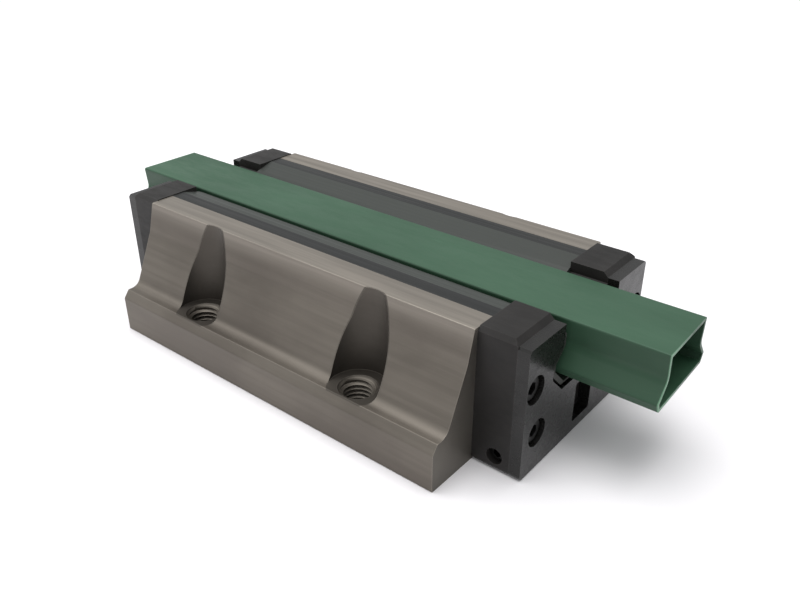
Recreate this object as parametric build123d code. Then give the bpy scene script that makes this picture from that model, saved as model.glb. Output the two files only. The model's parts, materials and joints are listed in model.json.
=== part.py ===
from build123d import *
import math
import os

# Flanged roller guide carriage of size 45, with the hollow mounting arbor that keeps its rollers in.
# Millimetres. X is the direction of travel, Z points out of the rail channel, and the origin is the
# centre of the mounting face. "front" is +X, "rear" is -X, "left" is +Y and "right" is -Y.

# Steel body
BODY_LENGTH = 158.0
CARRIAGE_HEIGHT = 50.0
FLANGE_WIDTH = 120.0
FLANGE_SIDE_HEIGHT = 14.4
LEDGE_HEIGHT = 17.5
LEDGE_OUTER_Y = 57.6
LEDGE_INNER_Y = 53.0
LEDGE_FILLET = 4.5
EDGE_RADIUS = 0.5
FLANGE_EDGE_RADIUS = 1.2
SLANT_TOP_Y = 43.3
SLANT_TOP_Z = 38.5
SLANT_BLEND = 12.0
LEG_TOP_OUTER_Y = 40.25
LEG_TOP_INNER_Y = 30.4
STRIP_SEAT_Z = 48.8
STRIP_SEAT_INNER_Y = 24.5
LEG_FACE_Y = 18.7
LEG_FACE_TOP_Z = 46.0
ROOF_Z = 23.8

# Bolt holes
FLANGE_HOLE_SPACING_X = 80.0
FLANGE_HOLE_SPACING_Y = 100.0
FLANGE_HOLE_RADIUS = 6.0
FLANGE_RIM_RADIUS = 7.0
POCKET_RADIUS = 10.5
CENTRE_HOLE_SPACING = 60.0
CENTRE_HOLE_RADIUS = 5.0
CENTRE_SEAT_RADIUS = 8.5
CENTRE_SEAT_DEPTH = 6.0

# Rollers. A row's own axes are "along", the roller's axis, and "out", from the rail to the raceway.
ROLLER_DIAMETER = 4.0
ROLLER_LENGTH = 6.0
ROLLER_EDGE = 0.3
ROLLERS_PER_CIRCUIT = 81
ROW_Y = 19.6
ROW_Z = 28.4
MID_Z = 32.9
RETURN_OFFSET = 8.5
RACEWAY_END = 3.9
TUBE_RADIUS = 4.15
RETURN_HOLE_RADIUS = 4.25
TRACK_PLAY = 0.15

# Guide rail that the carriage is made for: the seals and end caps follow its outline
RAIL_TOP_Z = 25.2
RAIL_APEX_Y = 20.0
RAIL_WAIST_Y = 14.9

# Plastic roller retainers
GAP = 0.1
RETAINER_INNER_Y = 12.5
RETAINER_LIP_OUT = -1.5
RETAINER_LIP_ALONG = -4.9
RETAINER_STEP_Y = 1.0
RETAINER_TOP_Z = 45.8
MOUTH_RETAINER_THICKNESS = 1.4
MOUTH_RETAINER_TAPER_Y = 0.3
MOUTH_RETAINER_TAPER_Z = 1.9

# Seal strips along the legs
STRIP_TOP_Z = 50.0
STRIP_BEVEL_Y = 24.8
STRIP_EDGE_Y = 17.0
STRIP_EDGE_Z = 47.9
STRIP_LIP_Y = 15.1
STRIP_LIP_Z = 47.0
STRIP_LIP_THICKNESS = 0.5

# End caps, wipers and front plates
CAP_HALF_WIDTH = 38.9
CAP_BOTTOM_Z = 0.4
CAP_TOP_Z = 50.4
CAP_LENGTH = 14.3
CAP_CHAMFER = 1.4
CAP_CORNER = 1.6
CAP_NOSE = 1.8
CAP_MOUTH_Y = 18.0
CAP_MOUTH_Z = 46.5
CAP_NECK_Z = 44.0
CAP_RAIL_GAP = 0.5
PLATE_THICKNESS = 4.2
PLATE_TOP_Z = 48.6
PLATE_CHAMFER = 0.9
PLATE_RAIL_GAP = 3.1
PLATE_OPENING_Z = 23.6
WIPER_THICKNESS = 2.0
WIPER_RAIL_GAP = 0.15
WIPER_HALF_WIDTH = 25.5
WIPER_BOTTOM_Z = 20.5
WIPER_TOP_Z = 43.6
WIPER_LIP_GAP = 1.9
WIPER_LIP_Z = 24.4
WIPER_LIP_HEIGHT = 3.2
TURN_TAB_RADIUS = 4.0
TURN_TAB_THICKNESS = 0.8

# Fasteners and lubrication ports
SCREW_PLACES = [(30.4, 14.8), (33.6, 32.6)]
SCREW_RADIUS = 2.5
SCREW_HEAD_RADIUS = 4.25
SCREW_HEAD_HEIGHT = 5.0
SCREW_SOCKET_WIDTH = 4.0
SCREW_SOCKET_DEPTH = 2.5
SCREW_LENGTH = 22.0
SCREW_SEAT_DEPTH = 6.4
SCREW_SEAT_RADIUS = 5.0
SCREW_HOLE_DEPTH = 14.0
PORT_RADIUS = 3.0
PORT_Z = 12.0
PORT_DEPTH = 9.0
WINDOW_HALF_WIDTH = 5.8
WINDOW_BOTTOM_Z = 4.4
WINDOW_TOP_Z = 20.0
WINDOW_CORNER = 1.0
SIDE_PORT_X = 8.7
SIDE_PORT_Z = 5.6
SIDE_PORT_DEPTH = 9.0
PLUG_LENGTH = 5.0
PLUG_SETBACK = 2.2
PLUG_SOCKET_WIDTH = 3.0
PLUG_SOCKET_DEPTH = 2.0

# Mounting arbor
ARBOR_REAR_X = -121.0
ARBOR_FRONT_X = 129.4
ARBOR_TOP_Z = 48.2
ARBOR_BOTTOM_Z = 29.6
ARBOR_TOP_Y = 14.4
ARBOR_WAIST_Y = 13.6
ARBOR_WAIST_Z = 38.9
ARBOR_FLARE_Y = 18.8
ARBOR_FLARE_Z = 32.9
ARBOR_BOTTOM_Y = 17.2
ARBOR_TOP_CORNER = 0.7
ARBOR_BOTTOM_CORNER = 0.8
ARBOR_WAIST_BLEND = 4.0
ARBOR_WALL = 1.1
ARBOR_SAW_ANGLE = 1.2

BODY_END = BODY_LENGTH / 2
CAP_END = BODY_END + CAP_LENGTH
PLATE_END = CAP_END + PLATE_THICKNESS
TURN_RADIUS = RETURN_OFFSET / 2
ROLLER_RADIUS = ROLLER_DIAMETER / 2
HALF_ROLLER = ROLLER_LENGTH / 2
CLEAR_OF_ALL = 100.0
DIAGONAL = math.sqrt(0.5)
ROW_AXIS = Vector(0, DIAGONAL, DIAGONAL)


def row_point(along, out):
    """(y, z) of a point in the left deep row's own axes."""
    return (ROW_Y + DIAGONAL * (along + out), ROW_Z + DIAGONAL * (along - out))


def over_mid(point):
    """The same point in the mouth row, which mirrors the deep row."""
    return (point[0], 2 * MID_Z - point[1])


def mirrored(half):
    """Closed outline from its left half, listed from the bottom centre round to the top."""
    return half + [(-point[0], *point[1:]) for point in reversed(half)]


def section(outline):
    """Face in the YZ plane. A point is (y, z) or (y, z, corner radius)."""
    radii = [point[2] if len(point) > 2 else 0 for point in outline]
    edges = FilletPolyline([point[:2] for point in outline], radius=radii, close=True)
    return Plane.YZ * make_face(edges)


def along_x(outline, x_low, x_high):
    """Solid of one outline between two stations along X."""
    return Pos(x_low, 0, 0) * extrude(section(outline), amount=x_high - x_low, dir=(1, 0, 0))


def rod(radius, start, direction, length):
    """Round bar that starts at a point and runs along a direction."""
    place = Plane(origin=start, z_dir=direction)
    return place * Cylinder(radius, length, align=(Align.CENTER, Align.CENTER, Align.MIN))


def to_right(shape):
    return mirror(shape, Plane.XZ)


def to_rear(shape):
    return mirror(shape, Plane.YZ)


def to_mouth(shape):
    """Mirror of a deep-row shape for the row next to the mouth."""
    return mirror(shape, Plane.XY.offset(MID_Z))


def four_rows(shape):
    """A deep-row shape repeated for the four rows."""
    both = [shape, to_mouth(shape)]
    return both + [to_right(one) for one in both]


def rail_half(clearance, top_z):
    """Left half of the rail's outline, opened by a clearance, from its top to its waist."""
    contact_y, contact_z = row_point(0, -ROLLER_RADIUS)
    flank = contact_y - contact_z + clearance / DIAGONAL
    apex_y = RAIL_APEX_Y + clearance
    waist_y = RAIL_WAIST_Y + clearance
    upper = [(top_z + flank, top_z), (apex_y, apex_y - flank)]
    lower = [over_mid((apex_y, apex_y - flank)), over_mid((waist_y, waist_y - flank))]
    return upper + lower


def rail_opening(clearance, top_z, opening_top=CLEAR_OF_ALL):
    """Outline of the hole that an end piece leaves for the rail."""
    return mirrored(rail_half(clearance, top_z) + [(RAIL_WAIST_Y + clearance, opening_top)])


def cap_opening():
    """The cap's hole for the rail, which widens at the mouth."""
    neck_y = RAIL_WAIST_Y + CAP_RAIL_GAP
    mouth = [(neck_y, CAP_NECK_Z), (CAP_MOUTH_Y, CAP_MOUTH_Z), (CAP_MOUTH_Y, CLEAR_OF_ALL)]
    return mirrored(rail_half(CAP_RAIL_GAP, RAIL_TOP_Z - CAP_RAIL_GAP) + mouth)


def screw_points():
    return [(side * y, z) for side in (1, -1) for y, z in SCREW_PLACES]


def channel_half():
    """Left half of the body's rail channel, from its roof to the leg's top."""
    roof_along = (ROOF_Z - ROW_Z) / DIAGONAL + ROLLER_RADIUS
    corner = row_point(RACEWAY_END, ROLLER_RADIUS)
    leg_along = (LEG_FACE_Y - ROW_Y) / DIAGONAL - ROLLER_RADIUS
    return [
        row_point(roof_along, ROLLER_RADIUS),
        corner,
        over_mid(corner),
        over_mid(row_point(leg_along, ROLLER_RADIUS)),
        (LEG_FACE_Y, LEG_FACE_TOP_Z),
        (STRIP_SEAT_INNER_Y, STRIP_SEAT_Z),
        (LEG_TOP_INNER_Y, STRIP_SEAT_Z),
        (LEG_TOP_INNER_Y, CARRIAGE_HEIGHT),
    ]


def body_outline():
    outside = [
        (FLANGE_WIDTH / 2, 0, EDGE_RADIUS),
        (FLANGE_WIDTH / 2, FLANGE_SIDE_HEIGHT, FLANGE_EDGE_RADIUS),
        (LEDGE_OUTER_Y, LEDGE_HEIGHT, EDGE_RADIUS),
        (LEDGE_INNER_Y, LEDGE_HEIGHT, LEDGE_FILLET),
        (SLANT_TOP_Y, SLANT_TOP_Z, SLANT_BLEND),
        (LEG_TOP_OUTER_Y, CARRIAGE_HEIGHT, EDGE_RADIUS),
    ]
    return mirrored(outside + list(reversed(channel_half())))


def flange_hole_cutter():
    """Tapped hole at its nominal size with its rim, and the pocket above it for a bolt head."""
    half_x = FLANGE_HOLE_SPACING_X / 2
    half_y = FLANGE_HOLE_SPACING_Y / 2
    rim = FLANGE_RIM_RADIUS - FLANGE_HOLE_RADIUS
    hole = rod(FLANGE_HOLE_RADIUS, (half_x, half_y, 0), (0, 0, 1), LEDGE_HEIGHT)
    rim_centre = Pos(half_x, half_y, LEDGE_HEIGHT - rim / 2)
    countersink = rim_centre * Cone(FLANGE_HOLE_RADIUS, FLANGE_RIM_RADIUS, rim)
    pocket = rod(POCKET_RADIUS, (half_x, half_y, LEDGE_HEIGHT), (0, 0, 1), CARRIAGE_HEIGHT)
    return hole + countersink + pocket


def centre_hole_cutter():
    """Hole through the roof, with a seat for its screw's head on the channel side."""
    half_x = CENTRE_HOLE_SPACING / 2
    hole = rod(CENTRE_HOLE_RADIUS, (half_x, 0, 0), (0, 0, 1), ROOF_Z)
    seat_z = ROOF_Z - CENTRE_SEAT_DEPTH
    return hole + rod(CENTRE_SEAT_RADIUS, (half_x, 0, seat_z), (0, 0, 1), CENTRE_SEAT_DEPTH)


def return_centre():
    return row_point(0, RETURN_OFFSET)


def return_hole_cutter():
    start = (-BODY_END, *return_centre())
    return rod(RETURN_HOLE_RADIUS, start, (1, 0, 0), BODY_LENGTH)


def carriage_body():
    """Hardened steel saddle with its flanges, legs, raceways and return holes."""
    body = along_x(body_outline(), -BODY_END, BODY_END)
    flange_hole = flange_hole_cutter()
    body -= [flange_hole, to_right(flange_hole), to_rear(flange_hole), to_rear(to_right(flange_hole))]
    centre_hole = centre_hole_cutter()
    body -= [centre_hole, to_rear(centre_hole)]
    body -= four_rows(return_hole_cutter())
    for y, z in screw_points():
        tapped = rod(SCREW_RADIUS, (BODY_END - SCREW_HOLE_DEPTH, y, z), (1, 0, 0), SCREW_HOLE_DEPTH)
        body -= [tapped, to_rear(tapped)]
    return body


def roller():
    plain = Cylinder(ROLLER_RADIUS, ROLLER_LENGTH)
    return chamfer(plain.edges().filter_by(GeomType.CIRCLE), ROLLER_EDGE)


def circuit_station(distance):
    """x and outward offset of a roller that has gone a distance round its circuit."""
    turn = math.pi * TURN_RADIUS
    if distance < BODY_LENGTH:
        return distance - BODY_END, 0.0
    distance -= BODY_LENGTH
    if distance < turn:
        angle = distance / TURN_RADIUS
        return BODY_END + TURN_RADIUS * math.sin(angle), TURN_RADIUS * (1 - math.cos(angle))
    distance -= turn
    if distance < BODY_LENGTH:
        return BODY_END - distance, RETURN_OFFSET
    angle = (distance - BODY_LENGTH) / TURN_RADIUS
    return -BODY_END - TURN_RADIUS * math.sin(angle), TURN_RADIUS * (1 + math.cos(angle))


def roller_circuit():
    """One closed loop of rollers: the loaded row, two turns and the return row."""
    pitch = 2 * (BODY_LENGTH + math.pi * TURN_RADIUS) / ROLLERS_PER_CIRCUIT
    one = roller()
    placed = []
    for index in range(ROLLERS_PER_CIRCUIT):
        x, out = circuit_station(index * pitch)
        place = Plane(origin=(x, *row_point(0, out)), z_dir=ROW_AXIS)
        placed.append((place * one).solid())
    return Compound(placed)


def return_tube():
    """Plastic tube that lines a return hole, with a channel that keeps the rollers straight."""
    start = (-BODY_END, *return_centre())
    tube = rod(TUBE_RADIUS, start, (1, 0, 0), BODY_LENGTH)
    half_along = HALF_ROLLER + TRACK_PLAY
    half_out = ROLLER_RADIUS + TRACK_PLAY
    signs = [(1, 1), (1, -1), (-1, -1), (-1, 1)]
    channel = [row_point(a * half_along, RETURN_OFFSET + b * half_out) for a, b in signs]
    return tube - along_x(channel, -BODY_END, BODY_END)


def deep_retainer():
    """Strip in the channel's roof corner that guides the deep row's inner roller ends."""
    edge = -HALF_ROLLER - TRACK_PLAY
    roof_along = (ROOF_Z - ROW_Z) / DIAGONAL + ROLLER_RADIUS
    lip_z = RAIL_TOP_Z - CAP_RAIL_GAP + TRACK_PLAY
    lip = row_point(RETAINER_LIP_ALONG, RETAINER_LIP_OUT)
    outline = [
        (RETAINER_INNER_Y, ROOF_Z + GAP),
        (row_point(roof_along, ROLLER_RADIUS)[0] - GAP, ROOF_Z + GAP),
        row_point(edge, ROLLER_RADIUS - GAP),
        row_point(edge, RETAINER_LIP_OUT),
        lip,
        (lip[0] - RETAINER_STEP_Y, lip_z),
        (RETAINER_INNER_Y, lip_z),
    ]
    return along_x(outline, -BODY_END, BODY_END)


def middle_retainer():
    """Strip between the two rows of one leg."""
    edge = HALF_ROLLER + TRACK_PLAY
    half = [
        row_point(edge, RETAINER_LIP_OUT + GAP),
        row_point(edge, ROLLER_RADIUS - GAP),
        row_point(RACEWAY_END - GAP, ROLLER_RADIUS - 2 * GAP),
    ]
    outline = half + [over_mid(point) for point in reversed(half)]
    return along_x(outline, -BODY_END, BODY_END)


def mouth_retainer():
    """Strip on the leg's inner face that guides the mouth row's outer roller ends."""
    edge = -HALF_ROLLER - TRACK_PLAY
    lip = over_mid(row_point(edge, RETAINER_LIP_OUT))
    shoulder = over_mid(row_point(edge, ROLLER_RADIUS - GAP))
    face_y = LEG_FACE_Y - GAP
    outline = [
        lip,
        shoulder,
        (face_y, shoulder[1] + 2 * GAP),
        (face_y, RETAINER_TOP_Z),
        (face_y - MOUTH_RETAINER_THICKNESS, RETAINER_TOP_Z),
        (lip[0] - MOUTH_RETAINER_TAPER_Y, lip[1] + MOUTH_RETAINER_TAPER_Z),
    ]
    return along_x(outline, -BODY_END, BODY_END)


def seal_strip():
    """Plastic strip on a leg's top with a lip that reaches the rail's waist."""
    outline = [
        (LEG_TOP_INNER_Y - GAP, STRIP_SEAT_Z + GAP),
        (LEG_TOP_INNER_Y - GAP, STRIP_TOP_Z),
        (STRIP_BEVEL_Y, STRIP_TOP_Z),
        (STRIP_EDGE_Y, STRIP_EDGE_Z),
        (STRIP_LIP_Y, STRIP_LIP_Z),
        (STRIP_LIP_Y, STRIP_LIP_Z - STRIP_LIP_THICKNESS),
        (LEG_FACE_Y - GAP, LEG_FACE_TOP_Z),
        (LEG_FACE_Y + GAP, LEG_FACE_TOP_Z + 2 * GAP),
        (STRIP_SEAT_INNER_Y, STRIP_SEAT_Z + GAP),
    ]
    return along_x(outline, -BODY_END, BODY_END)


def turn_drum(radius, half_length):
    """Round drum on the front turn axis of the left deep row."""
    centre = (BODY_END, *row_point(0, TURN_RADIUS))
    return Plane(origin=centre, z_dir=ROW_AXIS) * Cylinder(radius, 2 * half_length)


def turn_pocket():
    """Space in the front cap where the rollers of the left deep row turn round."""
    track = turn_drum(TURN_RADIUS + ROLLER_RADIUS + TRACK_PLAY, HALF_ROLLER + TRACK_PLAY)
    tab_length = HALF_ROLLER + TRACK_PLAY + TURN_TAB_THICKNESS
    return track + turn_drum(TURN_TAB_RADIUS + GAP, tab_length + GAP)


def turn_guide():
    """Half-round core of a turn, held by a tab at each end."""
    inner = HALF_ROLLER + TRACK_PLAY
    core = turn_drum(TURN_RADIUS - ROLLER_RADIUS - TRACK_PLAY, inner)
    tabs = turn_drum(TURN_TAB_RADIUS, inner + TURN_TAB_THICKNESS) - turn_drum(TURN_TAB_RADIUS, inner)
    front_half = Pos(BODY_END, 0, 0) * Box(
        CLEAR_OF_ALL, CLEAR_OF_ALL, CLEAR_OF_ALL, align=(Align.MIN, Align.CENTER, Align.CENTER)
    )
    return Compound((core + tabs & front_half).solids())


def cap_outline(top_z, corner):
    half = [
        (CAP_HALF_WIDTH, CAP_BOTTOM_Z, CAP_CORNER),
        (CAP_HALF_WIDTH, top_z - corner),
        (CAP_HALF_WIDTH - corner, top_z),
    ]
    return mirrored(half)


def nose_cutter():
    """Slope that takes the cap's top down to the plate's top."""
    corners = [(CAP_END - CAP_NOSE, CAP_TOP_Z), (CAP_END, PLATE_TOP_Z), (CAP_END, CAP_TOP_Z)]
    wedge = Plane.XZ * make_face(Polyline(corners, close=True))
    return extrude(wedge, amount=CLEAR_OF_ALL, both=True)


def wiper_outline(margin):
    """Outer edge of the wiper, or with a margin, of its seat."""
    half = [
        (WIPER_HALF_WIDTH + margin, WIPER_BOTTOM_Z - margin, CAP_CORNER),
        (WIPER_HALF_WIDTH + margin, WIPER_TOP_Z + margin),
    ]
    return mirrored(half)


def end_cap():
    """Moulded front cap: it turns the rollers round and carries the wiper and the grease ports."""
    cap = along_x(cap_outline(CAP_TOP_Z, CAP_CHAMFER), BODY_END, CAP_END) - nose_cutter()
    cap -= along_x(cap_opening(), BODY_END, CAP_END)
    cap -= four_rows(turn_pocket())
    cap -= along_x(wiper_outline(GAP), CAP_END - WIPER_THICKNESS, CAP_END)
    cap -= rod(PORT_RADIUS, (CAP_END - PORT_DEPTH, 0, PORT_Z), (1, 0, 0), PORT_DEPTH)
    seat_x = PLATE_END - SCREW_SEAT_DEPTH
    for y, z in screw_points():
        cap -= rod(SCREW_RADIUS + GAP, (BODY_END, y, z), (1, 0, 0), CAP_LENGTH)
        cap -= rod(SCREW_SEAT_RADIUS, (seat_x, y, z), (1, 0, 0), SCREW_SEAT_DEPTH)
    for side in (1, -1):
        mouth = (BODY_END + SIDE_PORT_X, side * CAP_HALF_WIDTH, SIDE_PORT_Z)
        cap -= rod(PORT_RADIUS, mouth, (0, -side, 0), SIDE_PORT_DEPTH)
    return cap


def front_plate():
    """Thin cover plate over the wiper, with a window for the front grease port."""
    plate = along_x(cap_outline(PLATE_TOP_Z, PLATE_CHAMFER), CAP_END, PLATE_END)
    plate -= along_x(rail_opening(PLATE_RAIL_GAP, PLATE_OPENING_Z), CAP_END, PLATE_END)
    window = [(WINDOW_HALF_WIDTH, z, WINDOW_CORNER) for z in (WINDOW_BOTTOM_Z, WINDOW_TOP_Z)]
    plate -= along_x(mirrored(window), CAP_END, PLATE_END)
    for y, z in screw_points():
        plate -= rod(SCREW_SEAT_RADIUS, (CAP_END, y, z), (1, 0, 0), PLATE_THICKNESS)
    return plate


def end_wiper():
    """Rubber wiper whose edge follows the rail's outline, with a lip that stands in the plate's hole."""
    wiper = along_x(wiper_outline(0), CAP_END - WIPER_THICKNESS, CAP_END)
    lip_end = CAP_END + WIPER_LIP_HEIGHT
    wiper += along_x(rail_opening(WIPER_LIP_GAP, WIPER_LIP_Z, WIPER_TOP_Z), CAP_END, lip_end)
    opening = rail_opening(WIPER_RAIL_GAP, RAIL_TOP_Z - WIPER_RAIL_GAP)
    return wiper - along_x(opening, CAP_END - WIPER_THICKNESS, lip_end)


def hex_socket(width, depth):
    return extrude(RegularPolygon(width / 2, 6, major_radius=False), amount=depth)


def cap_screw():
    """Socket head screw along +Z, with the underside of its head at the origin."""
    head = Cylinder(SCREW_HEAD_RADIUS, SCREW_HEAD_HEIGHT, align=(Align.CENTER, Align.CENTER, Align.MIN))
    head = chamfer(head.edges().filter_by(GeomType.CIRCLE).sort_by(Axis.Z)[-1], ROLLER_EDGE)
    socket = hex_socket(SCREW_SOCKET_WIDTH, SCREW_SOCKET_DEPTH)
    head -= Pos(0, 0, SCREW_HEAD_HEIGHT - SCREW_SOCKET_DEPTH) * socket
    shank = Cylinder(SCREW_RADIUS, SCREW_LENGTH, align=(Align.CENTER, Align.CENTER, Align.MAX))
    return head + shank


def cap_screws():
    seat_x = PLATE_END - SCREW_SEAT_DEPTH
    one = cap_screw()
    placed = [Plane(origin=(seat_x, y, z), z_dir=(1, 0, 0)) * one for y, z in screw_points()]
    return Compound([screw.solid() for screw in placed])


def side_plug():
    """Grub screw along +Z, with its socket end at the origin."""
    plug = Cylinder(PORT_RADIUS, PLUG_LENGTH, align=(Align.CENTER, Align.CENTER, Align.MAX))
    plug = chamfer(plug.edges().filter_by(GeomType.CIRCLE), ROLLER_EDGE)
    return plug - Pos(0, 0, -PLUG_SOCKET_DEPTH) * hex_socket(PLUG_SOCKET_WIDTH, PLUG_SOCKET_DEPTH)


def side_plugs():
    one = side_plug()
    placed = []
    for side in (1, -1):
        mouth = (BODY_END + SIDE_PORT_X, side * (CAP_HALF_WIDTH - PLUG_SETBACK), SIDE_PORT_Z)
        placed.append((Plane(origin=mouth, z_dir=(0, side, 0)) * one).solid())
    return Compound(placed)


def mounting_arbor():
    """Hollow plastic profile that stands in for the rail while the carriage is off it."""
    half = [
        (ARBOR_BOTTOM_Y, ARBOR_BOTTOM_Z, ARBOR_BOTTOM_CORNER),
        (ARBOR_FLARE_Y, ARBOR_FLARE_Z, ARBOR_BOTTOM_CORNER),
        (ARBOR_WAIST_Y, ARBOR_WAIST_Z, ARBOR_WAIST_BLEND),
        (ARBOR_TOP_Y, ARBOR_TOP_Z, ARBOR_TOP_CORNER),
    ]
    outer = section(mirrored(half))
    wall = outer - offset(outer, -ARBOR_WALL)
    profile = Pos(ARBOR_REAR_X, 0, 0) * extrude(wall, amount=ARBOR_FRONT_X - ARBOR_REAR_X, dir=(1, 0, 0))
    waste = Box(CLEAR_OF_ALL, CLEAR_OF_ALL, CLEAR_OF_ALL, align=(Align.MIN, Align.CENTER, Align.MIN))
    return profile - Pos(ARBOR_FRONT_X, -ARBOR_FLARE_Y, 0) * Rot(0, 0, ARBOR_SAW_ANGLE) * waste


def left_and_right(name, shape):
    return {name + "_left": shape, name + "_right": to_right(shape)}


def front_and_rear(name, shape):
    return {name + "_front": shape, name + "_rear": to_rear(shape)}


def each_row(name, shape):
    labels = ["left_deep", "left_mouth", "right_deep", "right_mouth"]
    return {f"{name}_{label}": one for label, one in zip(labels, four_rows(shape))}


def all_nodes():
    nodes = {"carriage_body": carriage_body(), "mounting_arbor": mounting_arbor()}
    nodes |= each_row("roller_circuit", roller_circuit())
    nodes |= each_row("return_tube", return_tube())
    nodes |= left_and_right("deep_retainer", deep_retainer())
    nodes |= left_and_right("middle_retainer", middle_retainer())
    nodes |= left_and_right("mouth_retainer", mouth_retainer())
    nodes |= left_and_right("seal_strip", seal_strip())
    nodes |= front_and_rear("end_cap", end_cap())
    nodes |= front_and_rear("end_wiper", end_wiper())
    nodes |= front_and_rear("front_plate", front_plate())
    nodes |= front_and_rear("cap_screws", cap_screws())
    nodes |= front_and_rear("side_plugs", side_plugs())
    for row, guide in each_row("turn_guide", turn_guide()).items():
        nodes |= front_and_rear(row, guide)
    return nodes


os.makedirs("parts", exist_ok=True)
for node_name, node_shape in all_nodes().items():
    export_step(node_shape, f"parts/{node_name}.step")
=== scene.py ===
import json
import math

import bmesh
import bpy
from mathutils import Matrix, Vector


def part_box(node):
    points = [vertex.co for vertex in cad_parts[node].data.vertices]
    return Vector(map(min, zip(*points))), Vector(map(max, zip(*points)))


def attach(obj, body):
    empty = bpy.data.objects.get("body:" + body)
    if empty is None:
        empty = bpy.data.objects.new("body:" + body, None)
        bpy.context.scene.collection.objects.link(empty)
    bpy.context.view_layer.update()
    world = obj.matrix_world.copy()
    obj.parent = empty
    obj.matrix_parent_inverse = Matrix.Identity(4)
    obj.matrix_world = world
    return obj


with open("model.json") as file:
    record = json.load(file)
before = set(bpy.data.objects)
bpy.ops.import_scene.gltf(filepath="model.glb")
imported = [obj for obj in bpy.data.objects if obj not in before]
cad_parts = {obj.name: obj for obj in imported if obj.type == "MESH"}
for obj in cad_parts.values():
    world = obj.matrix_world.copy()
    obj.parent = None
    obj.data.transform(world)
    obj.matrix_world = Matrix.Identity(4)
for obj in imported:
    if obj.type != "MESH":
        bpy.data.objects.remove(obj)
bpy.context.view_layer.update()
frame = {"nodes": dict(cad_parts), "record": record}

MM = 0.001

# Camera
CAMERA_PLACE = Vector((192.7, -215.3, 174.2)) * MM
CAMERA_TARGET = Vector((20.4, -3.6, 24.0)) * MM
CAMERA_LENS = 36.6
CAMERA_SENSOR = 36.0
CAMERA_CLIP = 0.01

# Studio: a large soft lamp overhead, a small one low on the left, and an even pale surround
LIGHT_TARGET = (0, 0, 0.02)
KEY_PLACE = (-0.1, -0.05, 2.45)
KEY_SIZE = 2.0
KEY_POWER = 46.0
LEFT_PLACE = (-0.4, -0.3, 0.4)
LEFT_SIZE = 0.3
LEFT_POWER = 0.7
SURROUND_TINT = (0.98, 0.99, 1.0, 1.0)
SURROUND_STRENGTH = 0.66
FLOOR_HALF_WIDTH = 4.0

# Painted shade on the walls round a flange hole: its reach, and its soft edge
POCKET_SHADE_RADIUS = 10.6 * MM
POCKET_SHADE_EDGE = 0.3 * MM
# A hole's rim, and with it the flange's upper face, is within this many hole radii of its centre
LEDGE_SEARCH = 1.32

# Painted sheen: a lighter band below the ground leg tops, standing in for light on their rounded corners,
# and the sampling of worn edges
SHEEN_BAND_HEIGHT = 7 * MM
EDGE_SAMPLES = 6

# Rounding of the CAD nodes' sharp edges
BODY_ROUNDING = 0.25 * MM
ARBOR_ROUNDING = 0.12 * MM
CAP_ROUNDING = 0.3 * MM
STRIP_ROUNDING = 0.15 * MM
ROUNDED_ANGLE = math.radians(32)
ROUNDING_SEGMENTS = 2

# Thread ridges in the tapped holes, millimetres. An END is the plain stretch left at a hole's far end
FLANGE_PITCH = 1.75
FLANGE_THREAD_DEPTH = 0.95
FLANGE_THREAD_END = 0.6
CENTRE_PITCH = 1.5
CENTRE_THREAD_DEPTH = 0.8
CENTRE_THREAD_LENGTH = 16.0
PORT_PITCH = 1.0
PORT_THREAD_DEPTH = 0.5
PORT_THREAD_END = 1
THREAD_OVERLAP = 0.04

# Thread shape: half widths of a ridge's root and crest as shares of the pitch, the share of the
# depth that is left where a ridge has faded out, and the share of a turn that the fading takes
ROOT_SHARE = 0.46
CREST_SHARE = 0.07
FADED_SHARE = 0.08
FADE_TURNS = 1 / 3
STEPS_PER_TURN = 40

ENDS = ("front", "rear")
SIDES = ("left", "right")
ROWS = ("left_deep", "left_mouth", "right_deep", "right_mouth")


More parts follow.
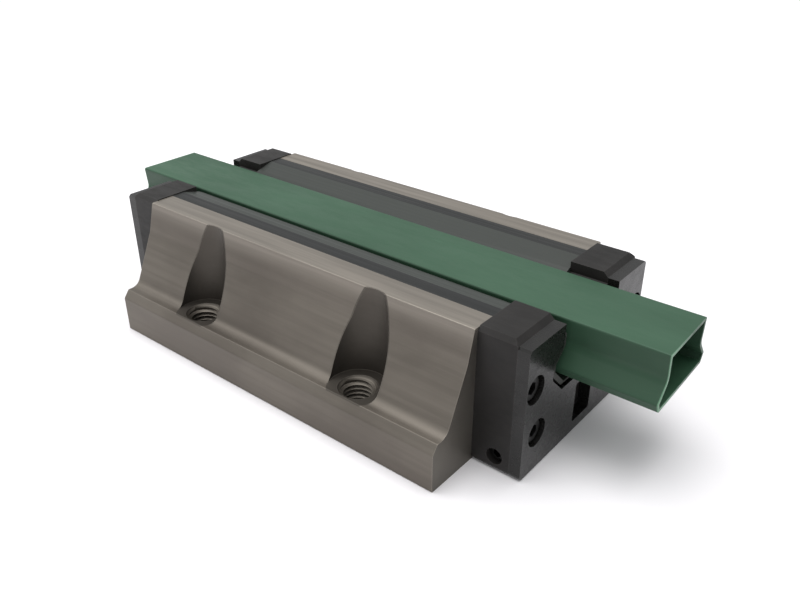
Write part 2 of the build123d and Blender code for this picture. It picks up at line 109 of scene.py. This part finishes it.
# ---------------------------------------------------------------- material nodes
class Shade:
    """One procedural material, built node by node."""

    def __init__(self, name, **sockets):
        self.material = bpy.data.materials.new(name)
        self.material.use_nodes = True
        self.tree = self.material.node_tree
        self.shader = self.tree.nodes["Principled BSDF"]
        for socket, value in sockets.items():
            self.shader.inputs[socket.replace("_", " ")].default_value = value
        self.place = self.node("ShaderNodeTexCoord").outputs["Object"]
        self.normal = self.node("ShaderNodeNewGeometry").outputs["Normal"]

    def node(self, kind, values=None, **settings):
        """A node with its settings, whose inputs take numbers, colours or other nodes' outputs."""
        made = self.tree.nodes.new(kind)
        for setting, value in settings.items():
            setattr(made, setting, value)
        for socket, value in (values or {}).items():
            self.feed(made.inputs[socket], value)
        return made

    def feed(self, socket, value):
        if isinstance(value, bpy.types.NodeSocket):
            self.tree.links.new(value, socket)
        else:
            socket.default_value = value

    def math(self, operation, a, b=0.0):
        return self.node("ShaderNodeMath", {0: a, 1: b}, operation=operation).outputs[0]

    def noise(self, scale, stretch=(1, 1, 1), detail=4.0, roughness=0.55):
        """Noise in the part's own space. scale is per metre, and stretch makes streaks."""
        moved = self.node("ShaderNodeMapping", {"Vector": self.place, "Scale": stretch})
        values = {"Vector": moved.outputs[0], "Scale": scale, "Detail": detail, "Roughness": roughness}
        return self.node("ShaderNodeTexNoise", values).outputs["Fac"]

    def ramp(self, value, low, high, out_low=0.0, out_high=1.0):
        """Smooth step of a value from low to high."""
        values = {0: value, 1: low, 2: high, 3: out_low, 4: out_high}
        return self.node("ShaderNodeMapRange", values, interpolation_type="SMOOTHSTEP").outputs[0]

    def mix(self, factor, a, b):
        made = self.node("ShaderNodeMix", data_type="RGBA")
        for index, value in ((0, factor), (6, a), (7, b)):
            self.feed(made.inputs[index], value)
        return made.outputs[2]

    def axis(self, vector, letter):
        return self.node("ShaderNodeSeparateXYZ", {0: vector}).outputs[letter]

    def edges(self, radius):
        """0 on flat faces, rising to 1 on outer and inner edges."""
        soft = self.node("ShaderNodeBevel", {"Radius": radius}, samples=EDGE_SAMPLES).outputs[0]
        values = {0: soft, 1: self.normal}
        dot = self.node("ShaderNodeVectorMath", values, operation="DOT_PRODUCT").outputs["Value"]
        return self.ramp(self.math("SUBTRACT", 1.0, dot), 0.01, 0.14)

    def finish(self, colour, roughness, bumps):
        """Links colour and roughness, and stacks the bumps, each (height, strength, metres)."""
        self.feed(self.shader.inputs["Base Color"], colour)
        self.feed(self.shader.inputs["Roughness"], roughness)
        normal = None
        for height, strength, distance in bumps:
            values = {"Height": height, "Strength": strength, "Distance": distance}
            if normal is not None:
                values["Normal"] = normal
            normal = self.node("ShaderNodeBump", values).outputs[0]
        self.feed(self.shader.inputs["Normal"], normal)
        return self.material


def rgb(red, green, blue):
    """Linear colour from 0 to 255 display values."""
    def linear(value):
        share = value / 255
        return share / 12.92 if share <= 0.04045 else ((share + 0.055) / 1.055) ** 2.4
    return (linear(red), linear(green), linear(blue), 1.0)


def mount(name):
    return next(entry for entry in frame["record"]["mounts"] if entry["name"] == name)


def ledge_height():
    """Height of the flange's upper face, found beside a flange hole."""
    body = frame["nodes"]["carriage_body"].data
    holes = mount("flange_holes")["dims"]
    centre = Vector((holes["spacing_x_mm"], holes["spacing_y_mm"])) * MM / 2
    reach = LEDGE_SEARCH * holes["hole_r_mm"] * MM
    return max(vertex.co.z for vertex in body.vertices if (vertex.co.xy - centre).length < reach)


def pocket_shade_mask(shade):
    """Mask of painted shade: 1 above the ledge on the milled walls round the four flange holes, and 0
    elsewhere.
    """
    holes = mount("flange_holes")["dims"]
    squares = []
    for letter, spacing in (("X", holes["spacing_x_mm"]), ("Y", holes["spacing_y_mm"])):
        folded = shade.math("ABSOLUTE", shade.axis(shade.place, letter))
        away = shade.math("SUBTRACT", folded, spacing * MM / 2)
        squares.append(shade.math("MULTIPLY", away, away))
    distance = shade.math("SQRT", shade.math("ADD", *squares))
    inside = shade.ramp(distance, POCKET_SHADE_RADIUS, POCKET_SHADE_RADIUS + POCKET_SHADE_EDGE, 1.0, 0.0)
    ledge = ledge_height()
    above = shade.ramp(shade.axis(shade.place, "Z"), ledge - 0.5 * MM, ledge - 0.2 * MM)
    return shade.math("MULTIPLY", inside, above)


def body_steel():
    """Dark drawn steel with plainer end faces, painted shade in the milled pockets, ground leg tops with a
    painted sheen band below them, and worn edges.
    """
    shade = Shade("body_steel", Metallic=0.85, Coat_Weight=0.05, Coat_Roughness=0.3)
    z = shade.axis(shade.place, "Z")
    up = shade.axis(shade.normal, "Z")
    along = shade.math("ABSOLUTE", shade.axis(shade.normal, "X"))
    leg_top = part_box("carriage_body")[1].z
    top = shade.math("MULTIPLY", shade.ramp(z, leg_top - 0.9 * MM, leg_top - 0.3 * MM),
                     shade.ramp(up, 0.6, 0.9))
    cloud = shade.noise(28, (0.6, 1, 1), 5)
    streak = shade.noise(420, (0.03, 1, 1), 3)
    grain = shade.noise(2600, (1, 1, 1), 2)
    side = shade.mix(shade.ramp(cloud, 0.35, 0.68), rgb(101, 95, 88), rgb(119, 113, 105))
    side = shade.mix(shade.ramp(streak, 0.3, 0.75, 0.0, 0.35), side, rgb(88, 83, 76))
    end = shade.mix(shade.ramp(cloud, 0.3, 0.7), rgb(96, 92, 86), rgb(110, 106, 99))
    side = shade.mix(shade.ramp(along, 0.8, 0.95), side, end)
    ground = shade.mix(shade.ramp(streak, 0.3, 0.7), rgb(132, 126, 118), rgb(152, 145, 136))
    # Painted sheen: the sides lighten towards the ground colour just below the leg tops, standing in for
    # light on the rounded top corners
    wear_and_sheen = shade.ramp(z, leg_top - SHEEN_BAND_HEIGHT, leg_top - 0.6 * MM, 0.0, 0.7)
    side = shade.mix(wear_and_sheen, side, ground)
    colour = shade.mix(top, side, ground)
    # Painted shade: the walls round the flange holes are darkened towards rgb(70, 66, 61)
    colour = shade.mix(shade.math("MULTIPLY", pocket_shade_mask(shade), 0.8), colour, rgb(70, 66, 61))
    worn = shade.math("MULTIPLY", shade.edges(0.5 * MM), shade.ramp(cloud, 0.3, 0.6, 0.35, 0.9))
    colour = shade.mix(worn, colour, rgb(140, 134, 125))
    roughness = shade.ramp(cloud, 0.25, 0.75, 0.44, 0.58)
    return shade.finish(colour, roughness, [(streak, 0.25, 0.05 * MM), (grain, 0.2, 0.03 * MM)])


def bright_steel(name, tone, roughness):
    """Turned or ground steel of one grey tone, faintly ringed."""
    shade = Shade(name, Metallic=1.0)
    cloud = shade.noise(160, detail=3)
    ring = shade.noise(1800, (1, 1, 0.2), 2)
    colour = shade.mix(cloud, rgb(tone - 12, tone - 12, tone - 14), rgb(tone, tone, tone))
    rough = shade.ramp(cloud, 0.3, 0.7, roughness, roughness + 0.12)
    return shade.finish(colour, rough, [(ring, 0.15, 0.02 * MM)])


def moulded_plastic(name, dark, light, gloss=0.22, roughness=0.42):
    """Moulded plastic with a fine spark texture, flow clouding and paler rubbed edges."""
    shade = Shade(name, Specular_IOR_Level=gloss)
    cloud = shade.noise(45, detail=4)
    grain = shade.noise(1500, detail=2)
    scuff = shade.noise(230, (0.35, 1, 1), 5, 0.7)
    colour = shade.mix(shade.ramp(cloud, 0.3, 0.7), dark, light)
    pale = tuple(min(1.0, channel * 2.2 + 0.01) for channel in light[:3]) + (1.0,)
    wear_and_sheen = shade.math("MULTIPLY", shade.edges(0.45 * MM), shade.ramp(cloud, 0.35, 0.65, 0.2, 0.7))
    colour = shade.mix(wear_and_sheen, colour, pale)
    colour = shade.mix(shade.ramp(scuff, 0.62, 0.8, 0.0, 0.25), colour, pale)
    rough = shade.ramp(scuff, 0.3, 0.75, roughness, roughness + 0.18)
    return shade.finish(colour, rough, [(grain, 0.35, 0.03 * MM), (scuff, 0.12, 0.03 * MM)])


def strip_plastic():
    """Extruded seal strip: fine drawing lines along its length, and painted shade and highlight by face
    direction: a darker flat top against lighter bevels.
    """
    shade = Shade("strip_plastic", Specular_IOR_Level=0.25)
    cloud = shade.noise(30, (0.4, 1, 1), 4)
    lines = shade.noise(900, (0.01, 1, 1), 2)
    up = shade.axis(shade.normal, "Z")
    # Painted shade and highlight: upward flat faces are darker, and the bevels lighter
    shaded_flat_top = shade.ramp(up, 0.975, 0.995)
    colour = shade.mix(shaded_flat_top, rgb(60, 63, 60), rgb(36, 37, 37))
    colour = shade.mix(shade.ramp(cloud, 0.35, 0.7, 0.0, 0.4), colour, rgb(50, 51, 49))
    colour = shade.mix(shade.math("MULTIPLY", shade.edges(0.3 * MM), 0.5), colour, rgb(92, 93, 90))
    rough = shade.ramp(lines, 0.3, 0.7, 0.38, 0.55)
    return shade.finish(colour, rough, [(lines, 0.3, 0.04 * MM)])


def arbor_plastic():
    """Extruded green profile: faint lines and scuffs along it, painted shade on its sides, and paler cut
    ends.
    """
    shade = Shade("arbor_plastic", Specular_IOR_Level=0.25)
    low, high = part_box("mounting_arbor")
    cloud = shade.noise(22, (0.35, 1, 1), 4)
    lines = shade.noise(620, (0.008, 1, 1), 2)
    scuff = shade.noise(210, (0.25, 1, 1), 6, 0.72)
    # Mask of the sideways faces, which get painted shade below
    side = shade.ramp(shade.math("ABSOLUTE", shade.axis(shade.normal, "Y")), 0.5, 0.75)
    x = shade.axis(shade.place, "X")
    cut_front = shade.ramp(x, high.x - 0.5 * MM, high.x - 0.1 * MM)
    cut_rear = shade.ramp(x, low.x + 0.5 * MM, low.x + 0.1 * MM)
    cut = shade.math("MAXIMUM", cut_front, cut_rear)
    colour = shade.mix(shade.ramp(cloud, 0.3, 0.7), rgb(48, 79, 59), rgb(59, 91, 70))
    # Painted shade: the sideways faces are darkened towards rgb(39, 61, 46)
    colour = shade.mix(shade.math("MULTIPLY", side, 0.6), colour, rgb(39, 61, 46))
    colour = shade.mix(shade.ramp(scuff, 0.6, 0.8, 0.0, 0.3), colour, rgb(82, 114, 94))
    colour = shade.mix(shade.math("MULTIPLY", shade.edges(0.4 * MM), 0.35), colour, rgb(92, 126, 104))
    colour = shade.mix(shade.math("MULTIPLY", cut, 0.7), colour, rgb(112, 152, 124))
    rough = shade.ramp(scuff, 0.3, 0.7, 0.34, 0.5)
    return shade.finish(colour, rough, [(lines, 0.25, 0.05 * MM), (scuff, 0.15, 0.04 * MM)])


def wiper_rubber():
    """Dull dark rubber."""
    shade = Shade("wiper_rubber", Specular_IOR_Level=0.3)
    cloud = shade.noise(90, detail=4)
    grain = shade.noise(2400, detail=2)
    colour = shade.mix(cloud, rgb(48, 50, 47), rgb(62, 64, 60))
    return shade.finish(colour, shade.ramp(cloud, 0.3, 0.7, 0.6, 0.78), [(grain, 0.3, 0.02 * MM)])


def floor_paint():
    """Plain pale floor, barely clouded."""
    shade = Shade("floor_paint", Specular_IOR_Level=0.2)
    cloud = shade.noise(6, detail=3)
    colour = shade.mix(cloud, rgb(243, 241, 243), rgb(247, 245, 247))
    return shade.finish(colour, shade.ramp(cloud, 0.3, 0.7, 0.65, 0.75), [(cloud, 0.02, MM)])


# ---------------------------------------------------------------- CAD nodes
def dress(name, material, bevel=0.0):
    """Gives a CAD node its material and, with a bevel, rounded edges."""
    piece = frame["nodes"][name]
    piece.data.materials.clear()
    piece.data.materials.append(material)
    if bevel:
        rounding = piece.modifiers.new("edge_rounding", "BEVEL")
        rounding.width = bevel
        rounding.segments = ROUNDING_SEGMENTS
        rounding.limit_method = "ANGLE"
        rounding.angle_limit = ROUNDED_ANGLE


def dress_all():
    """Dresses every CAD node, and returns the two finishes that the threads share."""
    steel = body_steel()
    roller = bright_steel("roller_steel", 205, 0.12)
    screw = bright_steel("screw_steel", 62, 0.35)
    guide = moulded_plastic("guide_plastic", rgb(176, 170, 152), rgb(190, 185, 168))
    cap = moulded_plastic("cap_plastic", rgb(30, 29, 28), rgb(41, 39, 38))
    plate = moulded_plastic("plate_plastic", rgb(19, 19, 18), rgb(27, 26, 25), gloss=0.36, roughness=0.2)
    rubber = wiper_rubber()
    strip = strip_plastic()
    dress("carriage_body", steel, BODY_ROUNDING)
    dress("mounting_arbor", arbor_plastic(), ARBOR_ROUNDING)
    for end in ENDS:
        dress("end_cap_" + end, cap, CAP_ROUNDING)
        dress("front_plate_" + end, plate, CAP_ROUNDING)
        dress("end_wiper_" + end, rubber)
        dress("cap_screws_" + end, screw)
        dress("side_plugs_" + end, screw)
    for side in SIDES:
        dress("seal_strip_" + side, strip, STRIP_ROUNDING)
        for kind in ("deep", "middle", "mouth"):
            dress(f"{kind}_retainer_{side}", guide)
    for row in ROWS:
        dress("roller_circuit_" + row, roller)
        dress("return_tube_" + row, guide)
        for end in ENDS:
            dress(f"turn_guide_{row}_{end}", guide)
    return steel, cap


# ---------------------------------------------------------------- threads
def thread(name, material, mouth, inward, radius, depth, pitch, length):
    """Helical ridge inside a tapped hole, from its mouth inwards, fading out at both ends."""
    turn = Vector(inward).to_track_quat("Z", "Y").to_matrix()
    steps = int((length / pitch - 1) * STEPS_PER_TURN)
    fade_steps = STEPS_PER_TURN * FADE_TURNS
    half_root = ROOT_SHARE * pitch
    half_crest = CREST_SHARE * pitch
    root = radius + THREAD_OVERLAP
    mesh = bmesh.new()
    rings = []
    for step in range(steps + 1):
        angle = 2 * math.pi * step / STEPS_PER_TURN
        middle = (0.5 + step / STEPS_PER_TURN) * pitch
        fade = min(1.0, step / fade_steps, (steps - step) / fade_steps)
        crest = radius - depth * (FADED_SHARE + (1 - FADED_SHARE) * fade)
        profile = [(root, -half_root), (crest, -half_crest), (crest, half_crest), (root, half_root)]
        spoke = Vector((math.cos(angle), math.sin(angle), 0))
        ring = []
        for r, shift in profile:
            local = spoke * r + Vector((0, 0, middle + shift))
            ring.append(mesh.verts.new(Vector(mouth) + turn @ (local * MM)))
        rings.append(ring)
    for first, second in zip(rings, rings[1:]):
        for index, corner in enumerate(first):
            following = (index + 1) % len(first)
            mesh.faces.new((corner, first[following], second[following], second[index]))
    mesh.faces.new(list(reversed(rings[0])))
    mesh.faces.new(rings[-1])
    bmesh.ops.recalc_face_normals(mesh, faces=mesh.faces)
    add_piece(name, mesh, material)


def add_piece(name, mesh, material):
    """Turns a bmesh into an object that rides on the carriage."""
    data = bpy.data.meshes.new(name)
    mesh.to_mesh(data)
    mesh.free()
    data.materials.append(material)
    piece = bpy.data.objects.new(name, data)
    bpy.context.scene.collection.objects.link(piece)
    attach(piece, "carriage")


def all_threads(steel, cap):
    """Ridges in the four flange holes, the two grease ports and the two centre holes."""
    holes = mount("flange_holes")["dims"]
    top = ledge_height()
    for end, x_sign in zip(ENDS, (1, -1)):
        for side, y_sign in zip(SIDES, (1, -1)):
            place = (x_sign * holes["spacing_x_mm"] * MM / 2, y_sign * holes["spacing_y_mm"] * MM / 2, top)
            thread(f"flange_thread_{end}_{side}", steel, place, (0, 0, -1),
                   holes["hole_r_mm"], FLANGE_THREAD_DEPTH, FLANGE_PITCH, top / MM - FLANGE_THREAD_END)
        port = mount("grease_port_" + end)
        inward = -Vector(port["axis"])
        thread("port_thread_" + end, cap, port["pos_m"], inward,
               port["dims"]["r_mm"], PORT_THREAD_DEPTH, PORT_PITCH,
               port["dims"]["length_mm"] - PORT_THREAD_END)
    centre = mount("centre_holes")["dims"]
    for end, x_sign in zip(ENDS, (1, -1)):
        place = (x_sign * centre["spacing_x_mm"] * MM / 2, 0, 0)
        thread("centre_thread_" + end, steel, place, (0, 0, 1),
               centre["hole_r_mm"], CENTRE_THREAD_DEPTH, CENTRE_PITCH, CENTRE_THREAD_LENGTH)


# ---------------------------------------------------------------- stage
def add_floor():
    mesh = bmesh.new()
    signs = [(-1, -1), (1, -1), (1, 1), (-1, 1)]
    corners = [(x * FLOOR_HALF_WIDTH, y * FLOOR_HALF_WIDTH, 0) for x, y in signs]
    mesh.faces.new([mesh.verts.new(corner) for corner in corners])
    data = bpy.data.meshes.new("floor")
    mesh.to_mesh(data)
    mesh.free()
    data.materials.append(floor_paint())
    floor = bpy.data.objects.new("floor", data)
    bpy.context.scene.collection.objects.link(floor)


def add_area(name, place, size, power):
    """Square area lamp that points at the part."""
    light = bpy.data.lights.new(name, "AREA")
    light.shape = "RECTANGLE"
    light.size = size
    light.size_y = size
    light.energy = power
    lamp = bpy.data.objects.new(name, light)
    lamp.location = place
    lamp.rotation_euler = (Vector(LIGHT_TARGET) - Vector(place)).to_track_quat("-Z", "Y").to_euler()
    bpy.context.scene.collection.objects.link(lamp)


def add_lights():
    world = bpy.data.worlds.new("studio")
    world.use_nodes = True
    background = world.node_tree.nodes["Background"]
    background.inputs["Color"].default_value = SURROUND_TINT
    background.inputs["Strength"].default_value = SURROUND_STRENGTH
    bpy.context.scene.world = world
    add_area("key", KEY_PLACE, KEY_SIZE, KEY_POWER)
    add_area("left", LEFT_PLACE, LEFT_SIZE, LEFT_POWER)


def add_camera():
    camera = bpy.data.cameras.new("camera")
    camera.lens = CAMERA_LENS
    camera.sensor_width = CAMERA_SENSOR
    camera.clip_start = CAMERA_CLIP
    view = bpy.data.objects.new("camera", camera)
    view.location = CAMERA_PLACE
    view.rotation_euler = (CAMERA_TARGET - CAMERA_PLACE).to_track_quat("-Z", "Y").to_euler()
    bpy.context.scene.collection.objects.link(view)
    bpy.context.scene.camera = view


def set_colour():
    bpy.context.scene.view_settings.view_transform = "Standard"
    bpy.context.scene.view_settings.look = "None"


add_camera()
steel, cap = dress_all()
all_threads(steel, cap)
add_floor()
add_lights()
set_colour()
